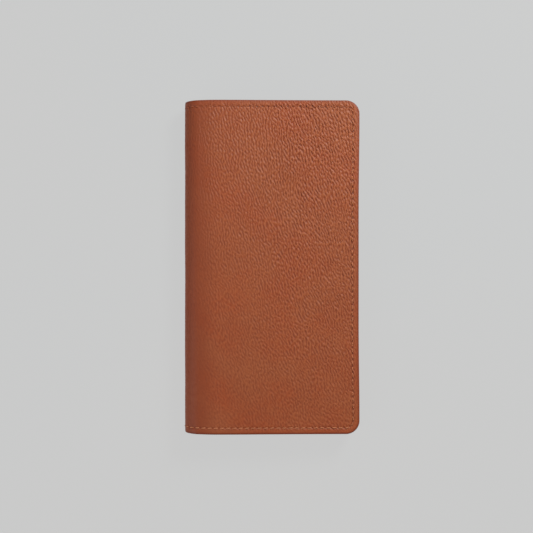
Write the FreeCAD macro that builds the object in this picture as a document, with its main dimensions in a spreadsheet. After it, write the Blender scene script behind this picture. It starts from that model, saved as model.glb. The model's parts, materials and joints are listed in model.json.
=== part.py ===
"""Long bifold wallet, closed, lying on its back cover with the fold on its left.

The frame has its origin under the middle of the closed wallet: X runs from the fold (-X) to the open
side (+X), Y along the long side, and Z up from the surface that the wallet lies on.

Each half is a cover (outer leather, board, lining) with its pockets on the inside. The two halves and
the fold strip between them are one piece of leather in the real wallet. It is cut here where it bends,
so that each half and the fold strip are rigid bodies: the fold is a half ring round the "fold centre",
and both cuts lie in planes through it. The front half is turned a little about the fold centre, so
that the wallet is thickest at the fold and thinner at the open side.
"""

import FreeCAD, Part
import math
import os
import re

import Sketcher
from FreeCAD import Placement, Rotation, Vector

DOC = FreeCAD.newDocument("LongWallet")

# ---------------------------------------------------------------- driving dimensions, in millimetres

DRIVING = [
    ("long_side", 187.0, "closed wallet, along the fold"),
    ("short_side", 97.0, "closed wallet, fold to open side"),
    ("closed_thick", 17.0, "closed wallet, outside to outside"),
    ("corner_radius", 7.5, "two free corners of each cover"),
    ("front_slope", 1.4, "the front half slopes down to the open side, in degrees"),
    ("outer_thick", 1.5, "outer leather"),
    ("board_thick", 0.4, "stiffening board, let into the outer leather"),
    ("board_inset", 6.0, "board edge to leather edge"),
    ("lining_thick", 0.6, "lining leather"),
    ("seam_inset", 3.2, "outside seam to leather edge"),
    ("groove_width", 0.9, "groove that the outside seam lies in"),
    ("groove_depth", 0.66, "its depth"),
    ("thread_width", 0.6, "thread of the outside seam"),
    ("thread_sink", 0.33, "thread centre below the leather face"),
    ("panel_overhang", 3.0, "pockets reach this far past the fold centre"),
    ("note_gap", 1.2, "note pocket, lining to panel"),
    ("note_thick", 0.7, "note pocket panel"),
    ("gusset_width", 4.6, "note pocket gusset strip"),
    ("card_thick", 0.65, "one card pocket panel"),
    ("card_depth", 50.0, "front card pocket, seam edge to lip"),
    ("card_step", 11.0, "lip to lip"),
    ("card_count", 4.0, "card pockets in a bank"),
    ("bank_foot", -1.0, "bottom edge of the upper bank, along Y"),
    ("coin_top", -5.0, "top edge of the coin pocket, along Y"),
    ("coin_lining_thick", 0.4, "coin pocket back"),
    ("coin_gap", 2.05, "coin pocket, back to front panel"),
    ("coin_rim", 3.6, "coin pocket gusset strip"),
    ("coin_panel_thick", 0.65, "coin pocket front leather"),
    ("zip_line", -17.0, "middle of the zip, along Y"),
    ("zip_start", -32.0, "fold end of the teeth, along X"),
    ("zip_length", 72.0, "teeth, end to end"),
    ("zip_window", 8.0, "opening in the leather for the zip, across it"),
    ("window_start", -35.2, "fold end of that opening, along X"),
    ("window_end", 43.0, "its other end"),
    ("tape_thick", 0.4, "zip tape"),
    ("tape_width", 11.0, "one zip tape, teeth to outer edge"),
    ("tape_edge", 1.3, "tape edge to the zip's middle"),
    ("tooth_pitch", 2.0, "tooth to tooth"),
    ("tooth_width", 1.0, "one tooth, along the zip"),
    ("tooth_reach", 2.2, "tooth root to the zip's middle"),
    ("tooth_slit", 0.4, "tooth tip to the zip's middle"),
    ("tooth_height", 1.6, "one tooth, through the tape"),
    ("slider_length", 9.0, "zip slider, along the zip"),
    ("slider_width", 6.4, "across the zip"),
    ("slider_plate", 0.65, "one plate of the slider"),
    ("slider_room", 2.0, "between its plates"),
    ("slider_park", 36.2, "middle of the slider with the zip shut, along X"),
    ("puller_length", 15.6, "zip puller, pivot to tip"),
    ("puller_width", 5.0, "zip puller"),
    ("puller_thick", 0.8, "zip puller, and the diameter of its pivot bar"),
    ("pivot_height", 0.95, "pivot bar above the slider's upper plate"),
    ("puller_droop", 4.2, "the puller's tip hangs down towards the zip, in degrees"),
    ("inner_thread", 0.5, "thread seen inside the wallet, width"),
    ("inner_thread_rise", 0.25, "its height above the leather"),
]


def make_sheet():
    sheet = DOC.addObject("Spreadsheet::Sheet", "Sizes")
    for row, (alias, value, note) in enumerate(DRIVING, start=1):
        sheet.set(f"A{row}", alias)
        sheet.set(f"B{row}", str(value))
        sheet.set(f"C{row}", note)
        sheet.setAlias(f"B{row}", alias)
    DOC.recompute()
    return sheet


SHEET = make_sheet()


def cell(alias):
    """The value of one driving dimension."""
    return float(SHEET.get(alias))


ALIASES = {alias for alias, _, _ in DRIVING}


def ref(text):
    """An expression in which each driving dimension is written by its bare alias."""
    return re.sub(r"[a-z_]+", lambda word: "Sizes." * (word[0] in ALIASES) + word[0], text)


def value_of(text):
    """The number that such an expression gives."""
    probe = DOC.getObject("Probe") or DOC.addObject("App::FeaturePython", "Probe")
    if "Result" not in probe.PropertiesList:
        probe.addProperty("App::PropertyFloat", "Result")
    probe.setExpression("Result", ref(text))
    DOC.recompute([probe])
    return float(probe.Result)


# Levels of one half, measured inwards from its outer face.
FOLD_RADIUS = "closed_thick / 2"
FOLD_X = "(closed_thick / 2 - short_side / 2)"
FLAT_LENGTH = "(short_side - closed_thick / 2)"
LINING_LEVEL = "outer_thick"
NOTE_GAP_LEVEL = "(outer_thick + lining_thick)"
NOTE_LEVEL = "(outer_thick + lining_thick + note_gap)"
STACK_LEVEL = "(outer_thick + lining_thick + note_gap + note_thick)"
COIN_PANEL_LEVEL = f"({STACK_LEVEL} + coin_lining_thick + coin_gap)"
TAPE_LEVEL = f"({COIN_PANEL_LEVEL} - tape_thick)"
PANEL_LEFT = f"({FOLD_X} - panel_overhang)"
PANEL_WIDTH = f"({FLAT_LENGTH} + panel_overhang)"

# ---------------------------------------------------------------- small tools


def body(label, origin=("0", "0", "0"), rotation=None):
    """A body whose own origin sits at the given place."""
    made = DOC.addObject("PartDesign::Body", label)
    made.Label = label
    made.AllowCompound = True
    made.Placement = Placement(Vector(), rotation or Rotation())
    for axis, text in zip("xyz", origin):
        made.setExpression(f"Placement.Base.{axis}", ref(text))
    return made


def slope():
    """The front half's turn about the fold centre."""
    return Rotation(Vector(0, 1, 0), cell("front_slope"))


def at_fold_centre(label, front):
    """A body at the fold centre. The front half's are the back half's, turned over and sloped."""
    over = slope() * Rotation(Vector(1, 0, 0), 180)
    return body(label, (FOLD_X, "0", FOLD_RADIUS), over if front else None)


def sketch_on(owner, name, plane="XY_Plane", offset="0"):
    made = owner.newObject("Sketcher::SketchObject", f"{owner.Name}_{name}")
    feature = next(f for f in owner.Origin.OriginFeatures if f.Role == plane)
    made.AttachmentSupport = [(feature, "")]
    made.MapMode = "FlatFace"
    if offset != "0":
        made.setExpression("AttachmentOffset.Base.z", ref(offset))
    return made


def dimension(sketch, kind, items, name, text):
    """A named, driving constraint that follows an expression of driving dimensions."""
    number = sketch.addConstraint(Sketcher.Constraint(kind, *items, value_of(text)))
    sketch.renameConstraint(number, name)
    sketch.setExpression(f"Constraints.{name}", ref(text))


def rectangle(sketch, width, height, name="box", left="0", foot="0"):
    """A rectangle whose lower left corner is at (left, foot), all four given as expressions."""
    x0, y0, w, h = (value_of(t) for t in (left, foot, width, height))
    corners = [(x0, y0), (x0 + w, y0), (x0 + w, y0 + h), (x0, y0 + h)]
    first = sketch.GeometryCount
    for k in range(4):
        start, end = corners[k], corners[(k + 1) % 4]
        sketch.addGeometry(Part.LineSegment(Vector(*start, 0), Vector(*end, 0)))
    for k in range(4):
        sketch.addConstraint(Sketcher.Constraint("Coincident", first + k, 2, first + (k + 1) % 4, 1))
        kind = "Horizontal" if k % 2 == 0 else "Vertical"
        sketch.addConstraint(Sketcher.Constraint(kind, first + k))
    dimension(sketch, "DistanceX", (first, 1, first, 2), f"{name}_width", width)
    dimension(sketch, "DistanceY", (first + 1, 1, first + 1, 2), f"{name}_height", height)
    for kind, text, label in (("DistanceX", left, "left"), ("DistanceY", foot, "foot")):
        dimension(sketch, kind, (-1, 1, first, 1), f"{name}_{label}", text)


def cover_outline(sketch, inset, name="outline", left="0", closed=True):
    """A cover's outline, inset from its edges: square towards the fold, rounded at the free corners.

    With closed=False the side towards the fold is left open, which gives the path of a seam.
    """
    x0 = value_of(left)
    x1 = value_of(f"{FLAT_LENGTH} - {inset}")
    y1 = value_of(f"long_side / 2 - {inset}")
    r = value_of(f"corner_radius - {inset}") if cell("corner_radius") > value_of(inset) else 1.0
    first = sketch.GeometryCount
    turn = math.pi / 2
    sketch.addGeometry(Part.LineSegment(Vector(x0, y1, 0), Vector(x1 - r, y1, 0)))
    upper = Part.Circle(Vector(x1 - r, y1 - r, 0), Vector(0, 0, 1), r)
    sketch.addGeometry(Part.ArcOfCircle(upper, 0, turn))
    sketch.addGeometry(Part.LineSegment(Vector(x1, y1 - r, 0), Vector(x1, r - y1, 0)))
    lower = Part.Circle(Vector(x1 - r, r - y1, 0), Vector(0, 0, 1), r)
    sketch.addGeometry(Part.ArcOfCircle(lower, 3 * turn, 4 * turn))
    sketch.addGeometry(Part.LineSegment(Vector(x1 - r, -y1, 0), Vector(x0, -y1, 0)))
    top, arc_up, side, arc_low, foot = range(first, first + 5)
    joins = [((top, 2), (arc_up, 2)), ((arc_up, 1), (side, 1))]
    joins += [((side, 2), (arc_low, 2)), ((arc_low, 1), (foot, 1))]
    for a, b in joins:
        sketch.addConstraint(Sketcher.Constraint("Tangent", *a, *b))
    sketch.addConstraint(Sketcher.Constraint("Horizontal", top))
    sketch.addConstraint(Sketcher.Constraint("Vertical", side))
    sketch.addConstraint(Sketcher.Constraint("Equal", arc_up, arc_low))
    sketch.addConstraint(Sketcher.Constraint("Symmetric", top, 1, foot, 2, -1))
    if closed:
        sketch.addGeometry(Part.LineSegment(Vector(x0, -y1, 0), Vector(x0, y1, 0)))
        for a, b in (((foot, 2), (first + 5, 1)), ((first + 5, 2), (top, 1))):
            sketch.addConstraint(Sketcher.Constraint("Coincident", *a, *b))
    radius = f"corner_radius - {inset}" if cell("corner_radius") > value_of(inset) else "1"
    dimension(sketch, "Radius", (arc_up,), f"{name}_radius", radius)
    dimension(sketch, "DistanceX", (-1, 1, side, 1), f"{name}_reach", f"{FLAT_LENGTH} - {inset}")
    dimension(sketch, "DistanceX", (-1, 1, top, 1), f"{name}_left", left)
    dimension(sketch, "DistanceY", (-1, 1, top, 1), f"{name}_half", f"long_side / 2 - {inset}")


def pad(owner, sketch, length, name="Pad", symmetric=False):
    made = owner.newObject("PartDesign::Pad", f"{owner.Name}_{name}")
    made.Profile = sketch
    made.setExpression("Length", ref(length))
    if symmetric:
        made.SideType = "Symmetric"
    owner.Tip = made
    DOC.recompute()
    return made


def pocket(owner, sketch, depth, upward=False, name="Pocket"):
    """A pocket that cuts down from its sketch, or up. The volume has to fall."""
    before = owner.Shape.Volume
    made = owner.newObject("PartDesign::Pocket", f"{owner.Name}_{name}")
    made.Profile = sketch
    made.setExpression("Length", ref(depth))
    made.Reversed = upward
    owner.Tip = made
    DOC.recompute()
    if owner.Shape.Volume >= before:
        raise ValueError(f"{made.Name} cuts nothing")
    return made


def turn_profile(owner, sketch, axis, angle, kind="Revolution", name="Turn", reverse=False, both=False):
    """A revolution or groove of a sketch about one of the sketch's own axes."""
    made = owner.newObject(f"PartDesign::{kind}", f"{owner.Name}_{name}")
    made.Profile = sketch
    made.ReferenceAxis = (sketch, [axis])
    made.setExpression("Angle", ref(angle))
    made.Midplane = both
    made.Reversed = reverse
    owner.Tip = made
    DOC.recompute()
    return made


def round_edges(owner, radius, wanted, name="Fillet"):
    """Rounds the edges of the tip that wanted(edge) picks."""
    base = owner.Tip
    picked = [f"Edge{k}" for k, edge in enumerate(base.Shape.Edges, start=1) if wanted(edge)]
    if not picked:
        raise ValueError(f"{owner.Name}: no edge to round")
    made = owner.newObject("PartDesign::Fillet", f"{owner.Name}_{name}")
    made.Base = (base, picked)
    made.setExpression("Radius", ref(radius))
    owner.Tip = made
    DOC.recompute()
    return made


def upright(edge):
    """True for a straight edge that runs along Z."""
    ends = [v.Point for v in edge.Vertexes]
    return len(ends) == 2 and (ends[0] - ends[1]).cross(Vector(0, 0, 1)).Length < 1e-6


def corner_picker(x, y):
    """Picks the upright edge at (x, y) of a body's own frame."""
    return lambda e: upright(e) and abs(e.CenterOfMass.x - x) < 0.01 and abs(e.CenterOfMass.y - y) < 0.01


# ---------------------------------------------------------------- covers and fold


def bent_sheet(label, front, outside, inside):
    """A flat sheet that starts to bend round the fold: outside and inside are its two radii there."""
    made = at_fold_centre(label, front)
    sketch = sketch_on(made, "profile", "XZ_Plane")
    ro, ri, flat = (value_of(t) for t in (outside, inside, FLAT_LENGTH))
    start, end = math.radians(225), math.radians(270)
    cut = Vector(math.cos(start), math.sin(start), 0)
    sketch.addGeometry(Part.ArcOfCircle(Part.Circle(Vector(), Vector(0, 0, 1), ro), start, end))
    sketch.addGeometry(Part.LineSegment(Vector(0, -ro, 0), Vector(flat, -ro, 0)))
    sketch.addGeometry(Part.LineSegment(Vector(flat, -ro, 0), Vector(flat, -ri, 0)))
    sketch.addGeometry(Part.LineSegment(Vector(flat, -ri, 0), Vector(0, -ri, 0)))
    sketch.addGeometry(Part.ArcOfCircle(Part.Circle(Vector(), Vector(0, 0, 1), ri), start, end))
    sketch.addGeometry(Part.LineSegment(cut * ri, cut * ro))
    outer, lower, side, upper, inner, mitre = range(6)
    for a, b in (((outer, 2), (lower, 1)), ((inner, 2), (upper, 2))):
        sketch.addConstraint(Sketcher.Constraint("Tangent", *a, *b))
    corners = [((lower, 2), (side, 1)), ((side, 2), (upper, 1))]
    corners += [((inner, 1), (mitre, 1)), ((mitre, 2), (outer, 1))]
    for a, b in corners:
        sketch.addConstraint(Sketcher.Constraint("Coincident", *a, *b))
    for arc in (outer, inner):
        sketch.addConstraint(Sketcher.Constraint("Coincident", arc, 3, -1, 1))
    sketch.addConstraint(Sketcher.Constraint("Horizontal", lower))
    sketch.addConstraint(Sketcher.Constraint("Vertical", side))
    sketch.addConstraint(Sketcher.Constraint("Angle", -1, mitre, start))
    dimension(sketch, "Radius", (outer,), "outside", outside)
    dimension(sketch, "Radius", (inner,), "inside", inside)
    dimension(sketch, "DistanceX", (-1, 1, lower, 2), "reach", FLAT_LENGTH)
    pad(made, sketch, "long_side", symmetric=True)
    round_edges(made, "corner_radius", lambda e: upright(e) and e.CenterOfMass.x > flat - 0.01)
    return made


def groove_ends(sketch, outside):
    """Where the seam groove's two ends cross the fold: one rectangle each, to be turned round the fold."""
    for side in (1, -1):
        foot = f"{side} * (long_side / 2 - seam_inset) - groove_width / 2"
        name = "upper" if side > 0 else "lower"
        rectangle(sketch, "groove_depth + 1", "groove_width", name, f"-({outside}) - 1", foot)


def outer_leather(label, front):
    """The cover leather, with a recess for the board inside and the seam groove outside."""
    made = bent_sheet(label, front, FOLD_RADIUS, f"{FOLD_RADIUS} - outer_thick")
    recess = sketch_on(made, "recess", offset=f"outer_thick - {FOLD_RADIUS}")
    cover_outline(recess, "board_inset", left="board_inset / 2")
    pocket(made, recess, "board_thick", name="Recess")
    groove = sketch_on(made, "groove", offset=f"-{FOLD_RADIUS}")
    cover_outline(groove, "(seam_inset - groove_width / 2)", "outer", left="-closed_thick")
    cover_outline(groove, "(seam_inset + groove_width / 2)", "inner", left="groove_width - closed_thick")
    pocket(made, groove, "groove_depth", upward=True, name="SeamGroove")
    bend = sketch_on(made, "bend")
    groove_ends(bend, FOLD_RADIUS)
    before = made.Shape.Volume
    turn_profile(made, bend, "V_Axis", "90", "Groove", "BendGroove")
    if made.Shape.Volume >= before:
        made.Tip.Reversed = True
        DOC.recompute()
    if made.Shape.Volume >= before:
        raise ValueError(f"{label}: the bend's groove cuts nothing")
    return made


def board(label, front):
    """The stiffening board that lies in the outer leather's recess."""
    made = at_fold_centre(label, front)
    sketch = sketch_on(made, "outline", offset=f"outer_thick - board_thick - {FOLD_RADIUS}")
    cover_outline(sketch, "board_inset", left="board_inset / 2")
    pad(made, sketch, "board_thick")
    return made


def seam_thread(label, front):
    """The outside seam's thread: round three sides of the cover, then round the bend to the cut."""
    made = at_fold_centre(label, front)
    depth = f"({FOLD_RADIUS} - thread_sink)"
    path = sketch_on(made, "path", offset=f"-{depth}")
    cover_outline(path, "seam_inset", closed=False)
    section = sketch_on(made, "section", "YZ_Plane")
    start = (value_of("long_side / 2 - seam_inset"), -value_of(depth))
    add_thread_circle(section, *start, "end")
    run = made.newObject("PartDesign::AdditivePipe", f"{label}_Run")
    run.Profile = section
    run.Spine = (path, [f"Edge{k}" for k in range(1, 6)])
    made.Tip = run
    DOC.recompute()
    bend = sketch_on(made, "bend", "YZ_Plane")
    for side in (1, -1):
        add_thread_circle(bend, side * start[0], start[1], f"end{side + 2}")
    turn_profile(made, bend, "H_Axis", "45")
    if made.Shape.BoundBox.XMin > value_of(FOLD_X) - 1:
        made.Tip.Reversed = True
        DOC.recompute()
    return made


def add_thread_circle(sketch, x, y, name):
    number = sketch.addGeometry(Part.Circle(Vector(x, y, 0), Vector(0, 0, 1), cell("thread_width") / 2))
    dimension(sketch, "Radius", (number,), f"{name}_radius", "thread_width / 2")
    sketch.addConstraint(Sketcher.Constraint("DistanceX", -1, 1, number, 3, x))
    sketch.addConstraint(Sketcher.Constraint("DistanceY", -1, 1, number, 3, y))


def at_fold_middle(label):
    """A body at the fold centre, turned so that its -X points at the middle of the fold strip."""
    half_slope = Rotation(Vector(0, 1, 0), cell("front_slope") / 2)
    return body(label, (FOLD_X, "0", FOLD_RADIUS), half_slope)


FOLD_TURN = "90 + front_slope"


def fold_strip(label, outside, thick, grooved):
    """The part ring of leather between the two halves."""
    made = at_fold_middle(label)
    sketch = sketch_on(made, "section")
    rectangle(sketch, thick, "long_side", left=f"-({outside})", foot="-long_side / 2")
    turn_profile(made, sketch, "V_Axis", FOLD_TURN, both=True)
    if grooved:
        groove = sketch_on(made, "groove")
        groove_ends(groove, outside)
        before = made.Shape.Volume
        turn_profile(made, groove, "V_Axis", FOLD_TURN, "Groove", "SeamGroove", both=True)
        if made.Shape.Volume >= before:
            raise ValueError(f"{label}: the seam groove cuts nothing")
    return made


def fold_thread(label):
    """The seam's thread where it crosses the fold, at both ends."""
    made = at_fold_middle(label)
    sketch = sketch_on(made, "section")
    reach = value_of(f"{FOLD_RADIUS} - thread_sink")
    end = value_of("long_side / 2 - seam_inset")
    for side in (1, -1):
        add_thread_circle(sketch, -reach, side * end, f"end{side + 2}")
    turn_profile(made, sketch, "V_Axis", FOLD_TURN, both=True)
    return made


# ---------------------------------------------------------------- pockets


def note_panel(label, front):
    """The long note pocket's panel: open towards the fold, caught in the outside seam elsewhere."""
    made = at_fold_centre(label, front)
    sketch = sketch_on(made, "outline", offset=f"{NOTE_LEVEL} - {FOLD_RADIUS}")
    cover_outline(sketch, "0", left="-panel_overhang")
    pad(made, sketch, "note_thick")
    return made


def note_gusset(label, front):
    """The strip round three sides that holds the note panel off the lining."""
    made = at_fold_centre(label, front)
    sketch = sketch_on(made, "outline", offset=f"{NOTE_GAP_LEVEL} - {FOLD_RADIUS}")
    cover_outline(sketch, "0", left="0")
    pad(made, sketch, "note_gap")
    inside = sketch_on(made, "inside", offset=f"{NOTE_LEVEL} - {FOLD_RADIUS}")
    cover_outline(inside, "gusset_width", left="-5")
    pocket(made, inside, "note_gap", name="Inside")
    return made


def panel_body(label, front, foot, level, thick):
    """A body at a panel's lower corner: the front half is stacked from its outer face and sloped."""
    if not front:
        return body(label, (PANEL_LEFT, foot, level))
    rise = f"({FOLD_RADIUS} - {level} - {thick})"
    x = f"{FOLD_X} - panel_overhang * cos(front_slope) + {rise} * sin(front_slope)"
    z = f"{FOLD_RADIUS} + panel_overhang * sin(front_slope) + {rise} * cos(front_slope)"
    return body(label, (x, foot, z), slope())


def flat_panel(label, front, foot, top, level, thick, corner):
    """A pocket panel. corner is -1 or 1 where its foot or top meets a free corner of the cover."""
    made = panel_body(label, front, foot, level, thick)
    sketch = sketch_on(made, "outline")
    height = f"({top} - ({foot}))"
    rectangle(sketch, PANEL_WIDTH, height)
    pad(made, sketch, thick)
    if corner:
        y = 0 if corner < 0 else value_of(height)
        round_edges(made, "corner_radius", corner_picker(value_of(PANEL_WIDTH), y))
    return made


def card_bank(half, foot, first, front, corner):
    """Card pockets that open upwards, the rearmost with the highest lip, each on top of the last."""
    count = int(cell("card_count"))
    for k in range(count):
        lip = f"({foot} + card_depth + {count - 1 - k} * card_step)"
        level = f"({STACK_LEVEL} + {k} * card_thick)"
        flat_panel(f"{half}_card_pocket_{first + k}", front, foot, lip, level, "card_thick", corner)


def coin_pocket():
    """The zipped coin pocket on the lower part of the back half."""
    foot, top = "(-long_side / 2)", "coin_top"
    flat_panel("coin_pocket_back", False, foot, top, STACK_LEVEL, "coin_lining_thick", -1)
    rim_level = f"({STACK_LEVEL} + coin_lining_thick)"
    rim = flat_panel("coin_pocket_gusset", False, foot, top, rim_level, "coin_gap", -1)
    inside = sketch_on(rim, "inside", offset="coin_gap")
    rectangle(
        inside,
        f"{PANEL_WIDTH} - 2 * coin_rim",
        "coin_top + long_side / 2 - 2 * coin_rim",
        left="coin_rim",
        foot="coin_rim",
    )
    pocket(rim, inside, "coin_gap", name="Inside")
    leather = flat_panel("coin_pocket_front", False, foot, top, COIN_PANEL_LEVEL, "coin_panel_thick", -1)
    window = sketch_on(leather, "window", offset="coin_panel_thick")
    left = f"(window_start - {PANEL_LEFT})"
    low = "(zip_line - zip_window / 2 + long_side / 2)"
    rectangle(window, "window_end - window_start", "zip_window", left=left, foot=low)
    pocket(leather, window, "coin_panel_thick", name="ZipWindow")
    x0, x1, y0 = value_of(left), value_of(f"window_end - {PANEL_LEFT}"), value_of(low)
    corners = [corner_picker(x, y) for x in (x0, x1) for y in (y0, y0 + cell("zip_window"))]
    round_edges(leather, "1.6", lambda e: any(pick(e) for pick in corners), "WindowCorners")


# ---------------------------------------------------------------- zip


def zip_tape(label, side):
    """One woven tape, from its beaded edge outwards. side is 1 above the zip line and -1 below it."""
    near = "(zip_line + tape_edge)" if side > 0 else "(zip_line - tape_edge - tape_width)"
    width = "tape_width" if side < 0 else "(coin_top - coin_rim - zip_line - tape_edge - 0.2)"
    made = body(label, (f"({PANEL_LEFT} + coin_rim + 0.2)", near, TAPE_LEVEL))
    sketch = sketch_on(made, "outline")
    rectangle(sketch, f"({PANEL_WIDTH} - 2 * coin_rim - 0.4)", width)
    pad(made, sketch, "tape_thick")
    return made


def zip_teeth(label, side):
    """One row of teeth, cut away where the tape passes through them. The rows are half a pitch apart."""
    offset = "0" if side > 0 else "tooth_pitch / 2"
    level = f"({TAPE_LEVEL} + tape_thick / 2 - tooth_height / 2)"
    made = body(label, (f"(zip_start + {offset})", "zip_line", level))
    sketch = sketch_on(made, "tooth")
    near = "tooth_slit" if side > 0 else "-tooth_reach"
    rectangle(sketch, "tooth_width", "(tooth_reach - tooth_slit)", foot=near)
    tooth = pad(made, sketch, "tooth_height")
    slot = sketch_on(made, "slot", offset="(tooth_height + tape_thick) / 2")
    near = "tape_edge" if side > 0 else "(-tooth_reach - 1)"
    rectangle(slot, "tooth_width + 2", "(tooth_reach - tape_edge + 1)", left="-1", foot=near)
    cut = pocket(made, slot, "tape_thick", name="TapeSlot")
    row = made.newObject("PartDesign::LinearPattern", f"{label}_Row")
    row.Originals = [tooth, cut]
    row.Direction = (sketch, ["H_Axis"])
    count = int(cell("zip_length") / cell("tooth_pitch"))
    row.Length = cell("tooth_pitch") * (count - 1)
    row.Occurrences = count
    made.Tip = row
    DOC.recompute()
    return made


def zip_stops():
    """Crimped stops: one across both rows at the fold end, and one on each row at the other end."""
    level = f"({TAPE_LEVEL} + tape_thick / 2 - tooth_height / 2)"
    made = body("zip_end_stops", ("zip_start", "zip_line", level))
    sketch = sketch_on(made, "stops")
    rectangle(sketch, "1.8", "tooth_reach * 2", "fold_end", "-2.4", "-tooth_reach")
    for side, name in ((1, "upper"), (-1, "lower")):
        near = "tooth_slit" if side > 0 else "-tooth_reach"
        rectangle(sketch, "1.8", "(tooth_reach - tooth_slit)", name, "zip_length + 0.8", near)
    pad(made, sketch, "tooth_height")
    slot = sketch_on(made, "slot", offset="(tooth_height + tape_thick) / 2")
    for side, name in ((1, "above"), (-1, "below")):
        near = "tape_edge" if side > 0 else "(-tooth_reach - 1)"
        rectangle(slot, "zip_length + 12", "(tooth_reach - tape_edge + 1)", name, "-6", near)
    pocket(made, slot, "tape_thick", name="TapeSlot")
    return made


SLIDER_FOOT = f"({TAPE_LEVEL} + tape_thick / 2 - slider_room / 2 - slider_plate)"
SLIDER_TOP = f"({TAPE_LEVEL} + tape_thick / 2 + slider_room / 2 + slider_plate)"


def zip_slider():
    """Two plates joined by the post between the rows, with lips that guide the teeth and a bridge."""
    made = body("zip_slider", ("slider_park", "zip_line", SLIDER_FOOT))
    left, foot = "-slider_length / 2", "-slider_width / 2"
    for name, level in (("Lower", "0"), ("Upper", "slider_plate + slider_room")):
        plate = sketch_on(made, name, offset=level)
        rectangle(plate, "slider_length", "slider_width", left=left, foot=foot)
        pad(made, plate, "slider_plate", f"{name}Pad")
    round_edges(made, "1.6", upright, "Corners")
    post = sketch_on(made, "post", offset="slider_plate")
    rectangle(post, "3", "0.6", left="slider_length / 2 - 3.4", foot="-0.3")
    pad(made, post, "slider_room", "Post")
    upper_lips = "slider_plate + slider_room - 0.45"
    for name, level in (("LowerLips", "slider_plate"), ("UpperLips", upper_lips)):
        lips = sketch_on(made, name, offset=level)
        for row, near in (("upper", "slider_width / 2 - 0.6"), ("lower", foot)):
            rectangle(lips, "slider_length - 3.6", "0.6", row, "1.8 - slider_length / 2", near)
        pad(made, lips, "0.45", f"{name}Pad")
    base = "2 * slider_plate + slider_room"
    for name, left, width, foot, height in (
        ("FoldLeg", "-2.7", "0.9", base, "1.5"),
        ("OpenLeg", "1.8", "0.9", base, "1.5"),
        ("Beam", "-2.7", "5.4", f"{base} + 1.5", "0.6"),
    ):
        bridge = sketch_on(made, name, "XZ_Plane")
        rectangle(bridge, width, height, left=left, foot=foot)
        pad(made, bridge, "1.5", f"{name}Pad", symmetric=True)
    return made


def zip_puller():
    """A flat tab lying back along the zip, whose eye goes round one leg of the bridge."""
    droop = Rotation(Vector(0, -1, 0), cell("puller_droop"))
    made = body("zip_puller", ("slider_park", "zip_line", f"({SLIDER_TOP} + pivot_height)"), droop)
    tab = sketch_on(made, "outline", offset="-puller_thick / 2")
    rectangle(tab, "puller_length", "puller_width", "tab", "-puller_length", "-puller_width / 2")
    rectangle(tab, "3.4", "1.8", "window", "2.9 - puller_length", "-0.9")
    pad(made, tab, "puller_thick")
    tip = -cell("puller_length")
    round_edges(made, "1.4", lambda e: upright(e) and abs(e.CenterOfMass.x - tip) < 0.01)
    eye = sketch_on(made, "eye", offset="puller_thick / 2")
    rectangle(eye, "4.4", "2.4", left="-3.4", foot="-1.2")
    pocket(made, eye, "puller_thick", name="Eye")
    bar = sketch_on(made, "bar", "XZ_Plane")
    round_bar = bar.addGeometry(Part.Circle(Vector(), Vector(0, 0, 1), cell("puller_thick") / 2))
    bar.addConstraint(Sketcher.Constraint("Coincident", round_bar, 3, -1, 1))
    dimension(bar, "Radius", (round_bar,), "bar_radius", "puller_thick / 2")
    pad(made, bar, "puller_width", "PivotBar", symmetric=True)
    return made


# ---------------------------------------------------------------- threads seen inside


def laid_thread(label, runs, front=False):
    """Straight runs of thread on the leather, each one (left, foot, length, along, level, side)."""
    wide, rise = cell("inner_thread"), cell("inner_thread_rise")
    solids = []
    for left, foot, length, along, level, side in runs:
        size = (length, wide) if along == "x" else (wide, length)
        base = level if side > 0 else level - rise
        box = Part.makeBox(size[0], size[1], rise, Vector(left, foot, base))
        edges = [e for e in box.Edges if abs(e.CenterOfMass.z - (level + side * rise)) < 1e-6]
        solids.append(box.makeFillet(rise * 0.6, edges))
    made = DOC.addObject("Part::Feature", label)
    made.Label = label
    made.Shape = Part.makeCompound(solids)
    if front:
        centre = Vector(value_of(FOLD_X), 0, value_of(FOLD_RADIUS))
        made.Placement = Placement(Vector(), slope(), centre)
    return made


def bank_levels(foot):
    """(from, to, height above the note panel) of each visible step of a card bank, along Y."""
    count, thick = int(cell("card_count")), cell("card_thick")
    lips = [foot + cell("card_depth") + (count - 1 - k) * cell("card_step") for k in range(count)]
    steps = [(foot, lips[-1], count * thick)]
    for k in range(count - 1, 0, -1):
        steps.append((lips[k], lips[k - 1], k * thick))
    return steps


def inner_runs(front):
    """The seam round the pockets, as runs that follow the height of whatever panel is on top."""
    half, seam = cell("long_side") / 2, cell("seam_inset")
    left, right = value_of(PANEL_LEFT), cell("short_side") / 2 - seam
    stack, wide = value_of(STACK_LEVEL), cell("inner_thread")
    steps = bank_levels(cell("bank_foot"))
    if front:
        steps += bank_levels(-half)
    else:
        coin = value_of(COIN_PANEL_LEVEL) + cell("coin_panel_thick") - stack
        steps += [(-half, cell("coin_top"), coin)]
    top_step = max(s[1] for s in steps)
    side = -1 if front else 1
    height = (lambda rise: cell("closed_thick") - stack - rise) if front else (lambda rise: stack + rise)
    clear, runs = 0.6, []
    for low, high, rise in steps + [(top_step, half - seam, 0.0)]:
        start = max(low, seam - half) + clear
        runs.append((right - wide / 2, start, high - clear - start, "y", height(rise), side))
        if rise:
            runs.append((left + 1.2, start, high - clear - start, "y", height(rise), side))
    foot_rise = max(s[2] for s in steps if s[0] == -half)
    span = right - wide / 2 - clear - (left + 3)
    runs.append((left + 3, half - seam - wide / 2, span, "x", height(0.0), side))
    runs.append((left + 3, seam - half - wide / 2, span, "x", height(foot_rise), side))
    runs.append((left + 3, cell("bank_foot") + 1.5, span, "x", height(steps[0][2]), side))
    return runs


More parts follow.
